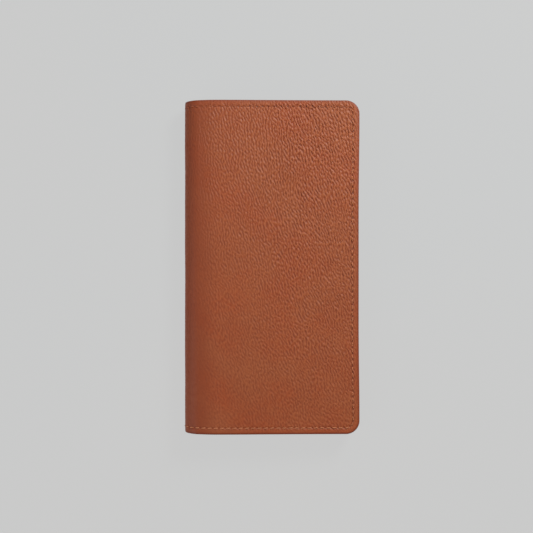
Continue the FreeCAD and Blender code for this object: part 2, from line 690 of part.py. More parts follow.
def coin_runs():
    """The rows of thread round the window that hold the zip's tapes."""
    level, wide = value_of(COIN_PANEL_LEVEL) + cell("coin_panel_thick"), cell("inner_thread")
    left, right = cell("window_start"), cell("window_end")
    near = cell("zip_window") / 2 + 1.2
    rows = [cell("zip_line") - near - wide / 2, cell("zip_line") + near - wide / 2]
    return [(left, row, right - left, "x", level, 1) for row in rows]


# ---------------------------------------------------------------- the wallet


def build():
    lining_radius = f"({FOLD_RADIUS} - outer_thick)"
    for half, front in (("back", False), ("front", True)):
        outer_leather(f"{half}_outer_leather", front)
        board(f"{half}_board", front)
        bent_sheet(f"{half}_lining", front, lining_radius, f"{lining_radius} - lining_thick")
        note_gusset(f"{half}_note_gusset", front)
        note_panel(f"{half}_note_panel", front)
        seam_thread(f"{half}_seam_thread", front)
        laid_thread(f"{half}_inner_thread", inner_runs(front), front)
    card_bank("back", "bank_foot", 1, False, 0)
    card_bank("front", "bank_foot", 1, True, 0)
    card_bank("front", "(-long_side / 2)", 5, True, -1)
    coin_pocket()
    laid_thread("coin_pocket_thread", coin_runs())
    zip_tape("zip_tape_upper", 1)
    zip_tape("zip_tape_lower", -1)
    zip_teeth("zip_teeth_upper", 1)
    zip_teeth("zip_teeth_lower", -1)
    zip_stops()
    zip_slider()
    zip_puller()
    fold_strip("fold_outer_leather", FOLD_RADIUS, "outer_thick", True)
    fold_strip("fold_lining", lining_radius, "lining_thick", False)
    fold_thread("fold_seam_thread")
    DOC.recompute()


def write_parts():
    for item in DOC.Objects:
        if "Invalid" in item.State or "Error" in item.State:
            raise ValueError(f"{item.Name} failed: {item.State}")
    pieces = [o for o in DOC.Objects if o.TypeId in ("PartDesign::Body", "Part::Feature")]
    for piece in pieces:
        if piece.Shape.isNull() or not piece.Shape.isValid() or not piece.Shape.Solids:
            raise ValueError(f"{piece.Label} has no valid shape")
    os.makedirs("parts", exist_ok=True)
    for piece in pieces:
        piece.Shape.exportStep(f"parts/{piece.Label}.step")
        box = piece.Shape.optimalBoundingBox(False, False)
        print(
            f"{piece.Label:24s}{len(piece.Shape.Solids):3d} solids  x {box.XMin:7.2f} {box.XMax:7.2f}"
            f"  y {box.YMin:7.2f} {box.YMax:7.2f}  z {box.ZMin:6.2f} {box.ZMax:6.2f}"
        )


build()
write_parts()
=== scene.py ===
"""Looks of the closed long wallet: pebbled tan leather, tone-on-tone seams, pockets and a brass zip.

Lengths are in metres and MM turns millimetres into them. Most pieces are made in a half's own flat
coordinates and then placed: u runs from the fold centre towards the open side, y along the wallet, and
h from the half's outer face inwards. Past the fold centre u is negative and measures the way round the
fold, so the cover leather is one flat sheet in (u, y) that is wrapped round the fold when it is placed.
"""

import json
import math

import bmesh
import bpy
import numpy as np
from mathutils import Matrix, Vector


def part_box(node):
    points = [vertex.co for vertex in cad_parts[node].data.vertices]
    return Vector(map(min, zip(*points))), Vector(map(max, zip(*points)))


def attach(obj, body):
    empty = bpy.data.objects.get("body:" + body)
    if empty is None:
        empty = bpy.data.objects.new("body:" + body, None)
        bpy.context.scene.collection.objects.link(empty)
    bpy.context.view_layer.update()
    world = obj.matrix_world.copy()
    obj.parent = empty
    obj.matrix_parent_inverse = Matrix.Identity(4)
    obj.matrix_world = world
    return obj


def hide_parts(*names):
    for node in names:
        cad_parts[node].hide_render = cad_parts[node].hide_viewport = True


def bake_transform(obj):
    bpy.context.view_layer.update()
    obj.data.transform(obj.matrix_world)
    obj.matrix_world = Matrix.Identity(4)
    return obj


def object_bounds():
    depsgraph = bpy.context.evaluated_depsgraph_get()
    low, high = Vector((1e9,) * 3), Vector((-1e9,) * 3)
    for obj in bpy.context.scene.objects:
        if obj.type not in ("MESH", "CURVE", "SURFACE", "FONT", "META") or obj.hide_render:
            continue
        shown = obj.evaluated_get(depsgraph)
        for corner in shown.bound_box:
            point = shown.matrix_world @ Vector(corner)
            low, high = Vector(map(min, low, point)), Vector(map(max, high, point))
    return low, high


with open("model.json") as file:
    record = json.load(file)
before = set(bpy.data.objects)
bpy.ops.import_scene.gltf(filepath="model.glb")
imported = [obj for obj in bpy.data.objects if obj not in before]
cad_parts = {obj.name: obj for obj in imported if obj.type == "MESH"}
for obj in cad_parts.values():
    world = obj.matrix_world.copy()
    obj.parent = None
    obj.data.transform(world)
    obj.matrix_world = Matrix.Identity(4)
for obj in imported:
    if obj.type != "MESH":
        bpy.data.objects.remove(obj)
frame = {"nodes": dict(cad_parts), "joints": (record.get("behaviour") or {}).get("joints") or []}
cad_box = [list(corner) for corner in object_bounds()]

MM = 0.001
JOINTS = {joint["name"]: joint for joint in frame["joints"]}

# ---------------------------------------------------------------- the wallet's own measures

LOW, HIGH = (Vector(corner) for corner in cad_box)
HALF_LENGTH = HIGH.y
FOLD_RADIUS = (HIGH.z - LOW.z) / 2
FOLD_X = LOW.x + FOLD_RADIUS
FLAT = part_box("back_outer_leather")[1].x - FOLD_X
FOLD_ANGLE = math.radians(JOINTS["back_fold"]["range_deg"][1])
SLOPE = 2 * FOLD_ANGLE - math.pi
FOLD_MIDDLE = -FOLD_RADIUS * FOLD_ANGLE
CORNER = 7.5 * MM  # radius of the cover's corners at the open side
EASE = 0.4 * MM  # radius of a corner that is only eased
LEATHER = 1.5 * MM  # thickness of the cover leather
LINING = 0.6 * MM  # thickness of the lining
SEAM_INSET = 3.6 * MM
STITCH_PITCH = 3.45 * MM
STITCH_LEAN = 0.25  # how far a stitch's ends stand off its row, in widths of the thread
STITCH_RISE = 0.12 * MM  # how far a stitch bows between its ends
STITCH_LENGTH, INNER_STITCH_LENGTH = 2.5 * MM, 2.4 * MM
THREAD_WIDTH, INNER_THREAD_WIDTH = 0.6 * MM, 0.5 * MM

# ---------------------------------------------------------------- small number tools


def smooth(x, low, high):
    """Rises smoothly from 0 at low to 1 at high."""
    t = np.clip((x - low) / (high - low), 0.0, 1.0)
    return t * t * (3.0 - 2.0 * t)


def bump(x, middle, width):
    """A smooth hump, 1 high at its middle."""
    return np.exp(-(((x - middle) / width) ** 2))


def waves(u, y, seed, length, strength):
    """Gentle unevenness made of a few long sine waves in seeded directions."""
    random = np.random.default_rng(seed)
    total = np.zeros_like(u)
    for _ in range(6):
        angle, phase = random.uniform(0, math.pi), random.uniform(0, 2 * math.pi)
        k = 2 * math.pi / (length * random.uniform(0.7, 1.6))
        total += np.sin(k * (u * math.cos(angle) + y * math.sin(angle)) + phase)
    return strength * total / 3.0


GRAIN_CELL = 0.2 * MM
GRAIN_TILE = 1024  # cells of the tile each way
GRAIN_ACROSS, GRAIN_ALONG = 1.42, 2.7  # mm from crest to crest, across the streaks and along them
GRAIN_SPREAD = 0.42  # how much the marks differ in size
GRAIN_LEANS = (-0.05, 0.40, 0.85)  # radians that the streaks of the mixed samples lean
GRAIN_LEAN, MORE_AT_OPEN_SIDE, LESS_AT_TOP = 0.46, 0.12, 0.19  # the lean wanted, in radians
GRAIN_DRIFT = 0.7 * MM  # how far the marks stray from straight streaks


def grain_tile():
    """A repeating tile of leather grain: seeded noise kept to one band of widths and directions."""
    random = np.random.default_rng(11)
    noise = np.fft.fft2(random.standard_normal((GRAIN_TILE, GRAIN_TILE)))
    f = np.fft.fftfreq(GRAIN_TILE, GRAIN_CELL / MM)
    fu, fy = np.meshgrid(f, f, indexing="ij")
    across, along = fu * GRAIN_ACROSS, fy * GRAIN_ALONG
    size = np.maximum(np.hypot(across, along), 1e-3)
    band = np.exp(-((np.log(size) / GRAIN_SPREAD) ** 2)) * (0.3 + 0.7 * (across / size) ** 2)
    tile = np.real(np.fft.ifft2(noise * band))
    return tile / tile.std()


TILE = grain_tile()
TILE_SHIFT = 67 * MM  # from one sample of the tile to the next


def sample_tile(a, b):
    """Reads the tile at distances a across the grain and b along it, smoothly between its cells."""
    x, y = a / GRAIN_CELL, b / GRAIN_CELL
    i, j = np.floor(x).astype(int), np.floor(y).astype(int)
    fx, fy = x - i, y - j
    i0, i1 = i % GRAIN_TILE, (i + 1) % GRAIN_TILE
    j0, j1 = j % GRAIN_TILE, (j + 1) % GRAIN_TILE
    low = TILE[i0, j0] * (1 - fx) + TILE[i1, j0] * fx
    high = TILE[i0, j1] * (1 - fx) + TILE[i1, j1] * fx
    return low * (1 - fy) + high * fy


def grain(u, y):
    """Height of the pebbled grain, about -1 to 1.

    Its streaks lean more towards the open side and the lower end, and each place mixes the samples
    that lean about as it should.
    """
    lean = GRAIN_LEAN + MORE_AT_OPEN_SIDE * smooth(u, 45 * MM, 85 * MM)
    lean = lean - LESS_AT_TOP * smooth(y, -40 * MM, 85 * MM) + waves(u, y, 23, 40 * MM, 0.14)
    a = u + waves(u, y, 21, 30 * MM, GRAIN_DRIFT)
    b = y + waves(u, y, 22, 24 * MM, GRAIN_DRIFT)
    total, power = 0.0, 0.0
    for k, turned in enumerate(GRAIN_LEANS):
        weight = bump(lean, turned, 0.32)
        across = a * math.cos(turned) + b * math.sin(turned)
        along = b * math.cos(turned) - a * math.sin(turned)
        total = total + weight * sample_tile(across + k * TILE_SHIFT, along)
        power = power + weight**2
    return np.tanh(1.1 * total / np.sqrt(power) + 0.35) - 0.2


# ---------------------------------------------------------------- placing


SPREAD, SPREAD_AT_ENDS = 0.44, 0.45  # mm that the open side stands out, and more near its ends
LENGTH_KEPT, LENGTH_LOST_AT_FOLD = 0.9985, 0.0053  # parts of the length
CROWN, CROWN_REACH = 0.42 * MM, 60 * MM


def relax(points, half):
    """Leather is not a plate: the open side spreads, the ends draw in and the front half is crowned."""
    u, y, h = points.T.copy()
    along = np.clip(y / HALF_LENGTH, -1.0, 1.0)
    spread = (SPREAD + SPREAD_AT_ENDS * smooth(np.abs(along), 0.35, 0.9)) * MM
    u = u + spread * np.clip(u / FLAT, 0, 1) ** 2
    y = y * (LENGTH_KEPT - LENGTH_LOST_AT_FOLD * smooth(-u, -9 * MM, 13 * MM))
    if half == "front":
        t = np.clip(u / CROWN_REACH, 0, 1) ** 0.6
        h = h - CROWN * np.sin(math.pi * t) ** 2
    return np.stack([u, y, h], 1)


def turned_over(x, z):
    """Turns the back half's directions into the front half's, and the front half's back again."""
    return x * math.cos(SLOPE) - z * math.sin(SLOPE), -x * math.sin(SLOPE) - z * math.cos(SLOPE)


def place(points, half, wrap=True, soft=True):
    """From a half's own (u, y, h) to x, y, z. Pieces that wrap go round the fold."""
    points = np.asarray(points, float)
    u, y, h = (relax(points, half) if soft else points).T
    radius = FOLD_RADIUS - h
    angle = np.maximum(-u, 0) / FOLD_RADIUS * wrap
    x = np.where((u > 0) | (not wrap), u, -radius * np.sin(angle))
    z = -radius * np.cos(angle)
    if half == "front":
        x, z = turned_over(x, z)
    return np.stack([FOLD_X + x, y, FOLD_RADIUS + z], 1)


def across_fold(u, half):
    """A half's u as the u of one sheet over the whole cover, the front half's. It works both ways."""
    return u if half == "front" else 2 * FOLD_MIDDLE - u


def own_box(node, half):
    """Lowest and highest (u, y, h) of a flat CAD node of a half."""
    mesh = frame["nodes"][node].data
    co = np.array([v.co for v in mesh.vertices], float)
    x, z = co[:, 0] - FOLD_X, co[:, 2] - FOLD_RADIUS
    if half == "front":
        x, z = turned_over(x, z)
    own = np.stack([x, co[:, 1], FOLD_RADIUS + z], 1)
    return own.min(0), own.max(0)


BODY = {"back": "back_half", "front": "front_half"}

# ---------------------------------------------------------------- meshes


def make_piece(name, verts, faces, materials, face_slots=None, sharp_last=False):
    """A mesh object. sharp_last says that the last face meets its neighbours at a hard edge."""
    mesh = bpy.data.meshes.new(name)
    mesh.from_pydata([tuple(v) for v in verts], [], faces)
    for material in materials:
        mesh.materials.append(material)
    if face_slots is not None:
        mesh.polygons.foreach_set("material_index", np.asarray(face_slots, np.int32))
    mesh.polygons.foreach_set("use_smooth", [True] * len(mesh.polygons))
    mesh.update()
    work = bmesh.new()
    work.from_mesh(mesh)
    bmesh.ops.recalc_face_normals(work, faces=work.faces)
    if sharp_last:
        work.faces.ensure_lookup_table()
        for edge in work.faces[-1].edges:
            edge.smooth = False
    work.to_mesh(mesh)
    work.free()
    obj = bpy.data.objects.new(name, mesh)
    bpy.context.scene.collection.objects.link(obj)
    return obj


def add_vector(obj, name, values):
    """Stores a vector on each point, for the materials to read."""
    attribute = obj.data.attributes.new(name, "FLOAT_VECTOR", "POINT")
    attribute.data.foreach_set("vector", np.asarray(values, np.float32).ravel())


def spaced(low, high, step, marks=()):
    """Grid lines from low to high. A mark (place, reach, fine) asks for finer steps round its place."""
    knots = {low, high}
    for at, reach, _ in marks:
        knots.update(min(max(at + side * reach, low), high) for side in (-1, 1))
    knots = sorted(knots)
    lines = [low]
    for start, end in zip(knots[:-1], knots[1:]):
        middle = (start + end) / 2
        sizes = [fine for at, reach, fine in marks if abs(middle - at) < reach]
        count = max(1, math.ceil((end - start) / min(sizes + [step]) - 1e-6))
        lines += list(np.linspace(start, end, count + 1)[1:])
    return np.array(lines)


def round_corners(u, y, low, high, radii):
    """Moves a grid's points so that its corners become round.

    The radii belong to the corners at the fold, low then high, and at the open side, low then high.
    """
    u, y = u.copy(), y.copy()
    for (at_u, at_y), radius in zip(((0, 0), (0, 1), (1, 0), (1, 1)), radii):
        if radius <= 0:
            continue
        su, sy = (1 if at_u else -1), (1 if at_y else -1)
        cu = (high[0] - radius) if at_u else (low[0] + radius)
        cy = (high[1] - radius) if at_y else (low[1] + radius)
        a, b = su * (u - cu) / radius, sy * (y - cy) / radius
        inside = (a > 0) & (b > 0)
        a, b = np.clip(a, 0, 1), np.clip(b, 0, 1)
        u = np.where(inside, cu + su * radius * a * np.sqrt(1 - b * b / 2), u)
        y = np.where(inside, cy + sy * radius * b * np.sqrt(1 - a * a / 2), y)
    return u, y


EDGE_STEPS = 6
EDGE_SQUARENESS = 3.2  # 2 would make the edge a half circle


def slab(
    name, half, low, high, levels, radii, materials, lines, relief, edge, open_end=False, **placing
):
    """A thin sheet with a fine face and an edge that is rounded over the given width.

    low and high are its (u, y) corners, levels the heights of its face and of its back, and lines its
    grid lines in u and y. relief(u, y) says how far the face stands proud, and how far its grain alone
    does, which the materials read. open_end leaves the end at the fold square, to meet the other half.
    """
    face, back = levels
    ug, yg = np.meshgrid(*lines, indexing="ij")
    inset_low = (low[0] if open_end else low[0] + edge, low[1] + edge)
    inset_high = (high[0] - edge, high[1] - edge)
    ug, yg = round_corners(ug, yg, inset_low, inset_high, [max(r - edge, 0) for r in radii])
    nu, ny = ug.shape
    outward = 1.0 if face > back else -1.0
    lift, mark = relief(ug, yg)
    own = [np.column_stack([ug.ravel(), yg.ravel(), (face + outward * lift).ravel()])]
    index = np.arange(nu * ny).reshape(nu, ny)
    quads = np.stack([index[:-1, :-1], index[1:, :-1], index[1:, 1:], index[:-1, 1:]], -1)
    faces = quads.reshape(-1, 4).tolist()
    slots = [0] * len(faces)

    border = [(i, ny - 1) for i in range(nu)] + [(nu - 1, j) for j in range(ny - 2, -1, -1)]
    border += [(i, 0) for i in range(nu - 2, -1, -1)]
    if not open_end:
        border += [(0, j) for j in range(1, ny - 1)]
    bi, bj = np.array(border).T
    rim = np.column_stack([ug[bi, bj], yg[bi, bj]])
    outwards = border_normals(rim, not open_end)
    count, total = len(border), nu * ny
    rows = [index[bi, bj]]
    for k in range(1, EDGE_STEPS + 1):
        turn = math.pi * k / EDGE_STEPS
        out = edge * (1 - abs(math.cos(turn)) ** EDGE_SQUARENESS) ** (1 / EDGE_SQUARENESS)
        height = (face + back) / 2 + (face - back) / 2 * math.cos(turn)
        ring = np.column_stack([rim + outwards * out, np.full(count, height)])
        ring[:, 2] += outward * lift[bi, bj] * (1 - k / EDGE_STEPS) ** 2
        own.append(ring)
        rows.append(np.arange(total, total + count))
        total += count
    for k in range(EDGE_STEPS):
        for n in range(count - 1 if open_end else count):
            m = (n + 1) % count
            faces.append([rows[k][n], rows[k + 1][n], rows[k + 1][m], rows[k][m]])
            slots.append(1 if 1 <= k < EDGE_STEPS - 1 else 0)

    last = dict(zip(border, rows[-1]))
    for i in range(nu - 1):
        strip = [last[i, 0], last[i + 1, 0]]
        if i == nu - 2:
            strip += [last[nu - 1, j] for j in range(1, ny - 1)]
        strip += [last[i + 1, ny - 1], last[i, ny - 1]]
        if i == 0 and not open_end:
            strip += [last[0, j] for j in range(ny - 2, 0, -1)]
        faces.append(strip)
        slots.append(0)
    if open_end:
        faces.append(list(index[0]) + [row[0] for row in rows[1:]] + [row[-1] for row in rows[:0:-1]])
        slots.append(0)

    own = np.concatenate(own)
    obj = make_piece(name, place(own, half, **placing), faces, materials, slots, sharp_last=open_end)
    sheet = own / MM
    sheet[:, 0] = across_fold(own[:, 0], half) / MM
    sheet[:, 2] = 0
    sheet[: nu * ny, 2] = mark.ravel() / MM
    add_vector(obj, "sheet", sheet)
    return obj


def border_normals(rim, closed):
    """Outward directions of a border walked clockwise in (u, y)."""
    before, after = np.roll(rim, 1, 0), np.roll(rim, -1, 0)
    if not closed:
        before[0], after[-1] = rim[0], rim[-1]
    along = after - before
    along /= np.maximum(np.linalg.norm(along, axis=1), 1e-12)[:, None]
    return np.stack([-along[:, 1], along[:, 0]], 1)


def sweep(name, half, path, outwards, section, materials, closed, **placing):
    """A strip: section's (out, h) corners carried along a path in (u, y)."""
    rings = [np.column_stack([path + outwards * out, np.full(len(path), h)]) for out, h in section]
    return loft(name, half, rings, materials, closed, **placing)


def loft(name, half, rings, materials, closed, **placing):
    """A solid whose section goes through the given lines, each a row of (u, y, h) points."""
    own = np.stack(rings, 1)
    count, corners = own.shape[:2]
    index = np.arange(count * corners).reshape(count, corners)
    faces = []
    for n in range(count if closed else count - 1):
        m = (n + 1) % count
        for c in range(corners):
            d = (c + 1) % corners
            faces.append([index[n, c], index[m, c], index[m, d], index[n, d]])
    if not closed:
        faces += [list(index[0]), list(index[-1, ::-1])]
    own = own.reshape(-1, 3)
    obj = make_piece(name, place(own, half, **placing), faces, materials)
    add_vector(obj, "sheet", own * (1, 1, 0) / MM)
    return obj


CORNER_STEPS = 8


def outline(low, high, radii, side_steps=24):
    """Points round a rectangle with round corners, clockwise from the upper one at the fold."""
    points = []
    corners = ((0, 1, radii[1]), (1, 1, radii[3]), (1, 0, radii[2]), (0, 0, radii[0]))
    for number, (at_u, at_y, radius) in enumerate(corners):
        centre_u = high[0] - radius if at_u else low[0] + radius
        centre_y = high[1] - radius if at_y else low[1] + radius
        start = math.pi - number * math.pi / 2
        for k in range(CORNER_STEPS + 1):
            angle = start - k / CORNER_STEPS * math.pi / 2
            points.append((centre_u + radius * math.cos(angle), centre_y + radius * math.sin(angle)))
        following = corners[(number + 1) % 4]
        next_u = high[0] - following[2] if following[0] else low[0] + following[2]
        next_y = high[1] - following[2] if following[1] else low[1] + following[2]
        angle = start - math.pi / 2
        end = (next_u + following[2] * math.cos(angle), next_y + following[2] * math.sin(angle))
        here = points[-1]
        for k in range(1, side_steps):
            t = k / side_steps
            points.append((here[0] * (1 - t) + end[0] * t, here[1] * (1 - t) + end[1] * t))
    return np.array(points)


# ---------------------------------------------------------------- seams


class Seam:
    """A row of stitches round three sides of a half, from the fold's side and back to it."""

    def __init__(self, inset, start):
        self.start = start
        self.radius = CORNER - inset
        self.end_u = FLAT - inset - self.radius
        self.end_y = HALF_LENGTH - inset - self.radius
        self.run = self.end_u - start
        self.arc = math.pi / 2 * self.radius
        self.length = 2 * (self.run + self.arc + self.end_y)

    def at(self, a):
        """(u, y) and direction at distance a along the seam, which starts at the upper fold end."""
        a = np.asarray(a, float)
        flip = a > self.length / 2
        a = np.where(flip, self.length - a, a)
        turn = np.clip((a - self.run) / self.arc, 0, 1) * math.pi / 2
        down = np.maximum(a - self.run - self.arc, 0)
        u = np.where(a < self.run, self.start + a, self.end_u + self.radius * np.sin(turn))
        y = self.end_y + self.radius * np.cos(turn) - down
        du, dy = np.cos(turn), -np.sin(turn)
        return u, np.where(flip, -y, y), np.where(flip, -du, du), dy

    def of(self, u, y):
        """Distance from the seam, and how far along it, for points (u, y)."""
        qu, qy = u - self.end_u, np.abs(y) - self.end_y
        away = np.hypot(np.maximum(qu, 0), np.maximum(qy, 0)) + np.minimum(np.maximum(qu, qy), 0)
        turn = np.arctan2(np.maximum(qu, 0), np.maximum(qy, 1e-9))
        along = np.where(qu < 0, u - self.start, self.run + self.radius * turn)
        along = np.where(qy < 0, self.run + self.arc - qy, along)
        along = np.where((qu < 0) & (qy < 0) & (qy > qu), u - self.start, along)
        return away - self.radius, np.where(y < 0, self.length - along, along)


def stitch_rows(name, half, rows, width, wrap=True):
    """Stitches as small bent strands that are a little flat and thin out where they dip into the holes.

    Each row holds the stitches' centres u and y, their directions du and dy and their heights, and then
    which way is outward, how long they are and how much each one takes the thread's painted lit tone.
    """
    rings, sides = 9, 8
    dip, flatness, thinnest = 0.32 * width, 0.8, 0.02
    t = np.linspace(-1, 1, rings)
    turn = np.arange(sides) * 2 * math.pi / sides
    thick = 0.5 * width * np.sqrt(np.maximum(1 - np.abs(t) ** 3.5, thinnest))
    own, faces, notes = [], [], []
    number = 0
    for u, y, du, dy, height, outward, length, lit in rows:
        for k in range(len(u)):
            along = t * length / 2
            side = STITCH_LEAN * width * t
            up = STITCH_RISE * (1 - t**2) - dip * t**4
            a = along[:, None] + 0 * turn[None]
            b = side[:, None] + thick[:, None] * np.cos(turn)[None]
            c = up[:, None] + flatness * thick[:, None] * np.sin(turn)[None]
            pu = u[k] + a * du[k] - b * dy[k]
            py = y[k] + a * dy[k] + b * du[k]
            ph = height[k] + outward * c
            own.append(np.stack([pu, py, ph], -1).reshape(-1, 3))
            notes.append(np.stack([a / MM, turn[None] + 0 * a, 0 * a + lit[k]], -1).reshape(-1, 3))
            base = number * rings * sides
            for i in range(rings - 1):
                for j in range(sides):
                    m = (j + 1) % sides
                    p, q = base + i * sides, base + (i + 1) * sides
                    faces.append([p + j, q + j, q + m, p + m])
            faces.append([base + j for j in range(sides)])
            faces.append([base + (rings - 1) * sides + j for j in range(sides - 1, -1, -1)])
            number += 1
    obj = make_piece(name, place(np.concatenate(own), half, wrap=wrap), faces, [SEAM_THREAD])
    add_vector(obj, "sheet", np.concatenate(notes))
    return obj


# ---------------------------------------------------------------- materials


class Nodes:
    """A material's nodes, added one call at a time."""

    def __init__(self, name):
        self.material = bpy.data.materials.new(name)
        self.material.use_nodes = True
        self.tree = self.material.node_tree
        self.tree.nodes.clear()

    def add(self, kind, settings=None, **inputs):
        """Adds a node. An input is named by its label, or as i and its number."""
        made = self.tree.nodes.new(kind)
        for key, value in (settings or {}).items():
            setattr(made, key, value)
        for key, value in inputs.items():
            numbered = key[0] == "i" and key[1:].isdigit()
            socket = made.inputs[int(key[1:]) if numbered else key]
            if isinstance(value, bpy.types.NodeSocket):
                self.tree.links.new(value, socket)
            else:
                socket.default_value = value
        return made

    def math(self, operation, a, b=0.0):
        return self.add("ShaderNodeMath", {"operation": operation}, i0=a, i1=b).outputs[0]

    def mix(self, factor, a, b):
        return self.add("ShaderNodeMix", {"data_type": "RGBA"}, i0=factor, i6=a, i7=b).outputs[2]

    def ramp(self, value, low, high, to_low=0.0, to_high=1.0):
        made = self.add("ShaderNodeMapRange", {"interpolation_type": "SMOOTHSTEP"}, i0=value)
        for k, number in enumerate((low, high, to_low, to_high)):
            made.inputs[k + 1].default_value = number
        return made.outputs[0]

    def stored(self, attribute):
        return self.add("ShaderNodeAttribute", {"attribute_name": attribute}).outputs["Vector"]

    def scaled(self, vector, scale):
        return self.add("ShaderNodeMapping", Vector=vector, Scale=scale).outputs[0]

    def sheet(self, scale=(1.0, 1.0, 1.0)):
        return self.scaled(self.stored("sheet"), scale)

    def parts(self, vector):
        return self.add("ShaderNodeSeparateXYZ", Vector=vector).outputs

    def noise(self, vector, scale, detail=2.0, roughness=0.5):
        inputs = {"Vector": vector, "Scale": scale, "Detail": detail, "Roughness": roughness}
        return self.add("ShaderNodeTexNoise", **inputs).outputs["Fac"]

    def relief(self, height, strength, depth):
        """The direction of a surface that a height of 0 to 1 raises by up to that depth."""
        return self.add("ShaderNodeBump", Height=height, Strength=strength, Distance=depth).outputs[0]

    def finish(self, shade, roughness, **others):
        """Ends the material with one surface. The others are named with low lines for their spaces."""
        inputs = {key.replace("_", " "): value for key, value in others.items()}
        inputs |= {"Base Color": shade, "Roughness": roughness}
        surface = self.add("ShaderNodeBsdfPrincipled", **inputs)
        self.add("ShaderNodeOutputMaterial", Surface=surface.outputs[0])
        return self.material


def colour(red, green, blue):
    """An opaque tone, in linear light."""
    return (red, green, blue, 1.0)


def times(tone, red, green, blue):
    """A tone whose parts are each multiplied."""
    return (tone[0] * red, tone[1] * green, tone[2] * blue, 1.0)


# painted shade inside the stitch holes
HOLE_SHADE = colour(0.110, 0.021, 0.006)
BRASS, BRASS_DULL = colour(0.66, 0.47, 0.20), colour(0.50, 0.35, 0.15)
# leather is (deep, body, pale)
TAN = (colour(0.166, 0.030, 0.009), colour(0.252, 0.058, 0.019), colour(0.284, 0.078, 0.027))
POCKET = (colour(0.140, 0.036, 0.016), colour(0.255, 0.070, 0.032), colour(0.320, 0.098, 0.050))
LINING_TONES = (colour(0.190, 0.085, 0.045), colour(0.290, 0.150, 0.085), colour(0.360, 0.200, 0.125))
# the thread's darker tone for the cover's sunk rows, and a paler copy of it, painted light, for its
# proud rows and all inside rows
THREAD, LIT_THREAD = colour(0.32, 0.080, 0.028), colour(0.50, 0.175, 0.078)
# painted shade in the grooves between a thread's strands
STRAND_GAP_SHADE = colour(0.10, 0.025, 0.01)


def leather(name, shades, roughness, pores, valley, pebbles=0.0, seam=False):
    """Grained leather, whose shades are (deep, body, pale).

    pores and pebbles say how deep the marks look that the mesh doesn't have, and valley how deep the
    mesh's own grain is where its painted shade is darkest, all in mm; its crests get a painted
    highlight.
    The cover's leather has a seam with painted shade in its holes and groove, and two bands of painted
    shade beside the fold.
    """
    deep, body, pale = shades
    n = Nodes(name)
    height = n.parts(n.sheet())["Z"]
    flat = n.sheet((1.0, 1.0, 0.0))
    broad = n.noise(flat, 0.045, 3.0, 0.55)
    small = n.noise(flat, 0.4, 4.0, 0.6)
    fine = n.noise(n.sheet((1.5, 0.9, 0.0)), 1.9, 3.0, 0.6)
    ruddy = times(body, 1.05, 0.89, 0.78)
    shade = n.mix(n.ramp(n.noise(flat, 0.028, 2.0), 0.38, 0.62), body, ruddy)
    shade = n.mix(n.ramp(broad, 0.35, 0.68, 0.0, 0.5), shade, pale)
    shade = n.mix(n.ramp(small, 0.42, 0.66, 0.0, 0.3), shade, deep)
    # painted shade in the grain's valleys, then a painted highlight on its crests
    shade = n.mix(n.ramp(height, valley * 0.3, -valley, 0.0, 0.45), shade, deep)
    shade = n.mix(n.ramp(height, 0.0, valley, 0.0, 0.7), shade, pale)
    shade = n.mix(n.ramp(fine, 0.5, 0.72, 0.0, 0.22), shade, deep)
    rough = n.ramp(small, 0.3, 0.7, roughness - 0.05, roughness + 0.06)
    if seam:
        shade = seam_marks(n, shade, deep)
        # painted shade in two bands beside the fold
        shade = painted_fold_shade(n, shade, deep)
    marks = n.math("ADD", n.math("MULTIPLY", fine, 0.7 * pores), n.math("MULTIPLY", small, 0.6 * pores))
    if pebbles:
        pebble = n.noise(n.sheet((1.0, 0.6, 0.0)), 0.8, 1.0)
        marks = n.math("ADD", marks, n.math("MULTIPLY", pebble, pebbles))
    return n.finish(shade, rough, Normal=n.relief(marks, 0.9, MM), Specular_IOR_Level=0.26)


def seam_marks(n, shade, deep):
    """Paints shade in the stitch holes and groove, darkens the rim. seam is (mm away, stitch number,
    hole shade).
    """
    marks = n.parts(n.stored("seam"))
    away = n.math("ABSOLUTE", marks["X"])
    turn = n.math("FRACT", n.math("ADD", marks["Y"], 0.5))
    from_hole = n.math("ABSOLUTE", n.math("SUBTRACT", turn, 0.5))
    # painted shade in the stitch holes
    hole_shade = n.math("MULTIPLY", n.ramp(away, 0.65, 0.15), n.ramp(from_hole, 0.18, 0.07))
    shade = n.mix(n.math("MULTIPLY", hole_shade, marks["Z"]), shade, HOLE_SHADE)
    # painted shade in the groove the stitches lie in
    shade = n.mix(n.ramp(away, 1.0, 0.0, 0.0, 0.18), shade, deep)
    rim = n.ramp(marks["X"], SEAM_INSET / MM - 1.6, SEAM_INSET / MM - 0.4, 0.0, 0.85)
    return n.mix(rim, shade, deep)


def painted_fold_shade(n, shade, deep):
    """Paints shade into two bands beside the fold's middle, where the fold rolls from the light.
    Distances are in mm.
    """
    from_middle = n.math("SUBTRACT", n.parts(n.sheet())["X"], FOLD_MIDDLE / MM)
    from_middle = n.math("ABSOLUTE", from_middle)
    outer, inner = n.ramp(from_middle, 26.0, 11.0, 0.0, 0.62), n.ramp(from_middle, 4.0, 10.0, 0.1, 1.0)
    return n.mix(n.math("MULTIPLY", outer, inner), shade, deep)


def edge_paint(name, tone):
    """The sealed edge of cut leather."""
    n = Nodes(name)
    uneven = n.noise(n.sheet(), 0.3, 2.0)
    shade = n.mix(n.ramp(uneven, 0.3, 0.7), tone, times(tone, 0.72, 0.72, 0.72))
    return n.finish(shade, 0.5, Normal=n.relief(uneven, 0.5, 0.1 * MM), Specular_IOR_Level=0.3)


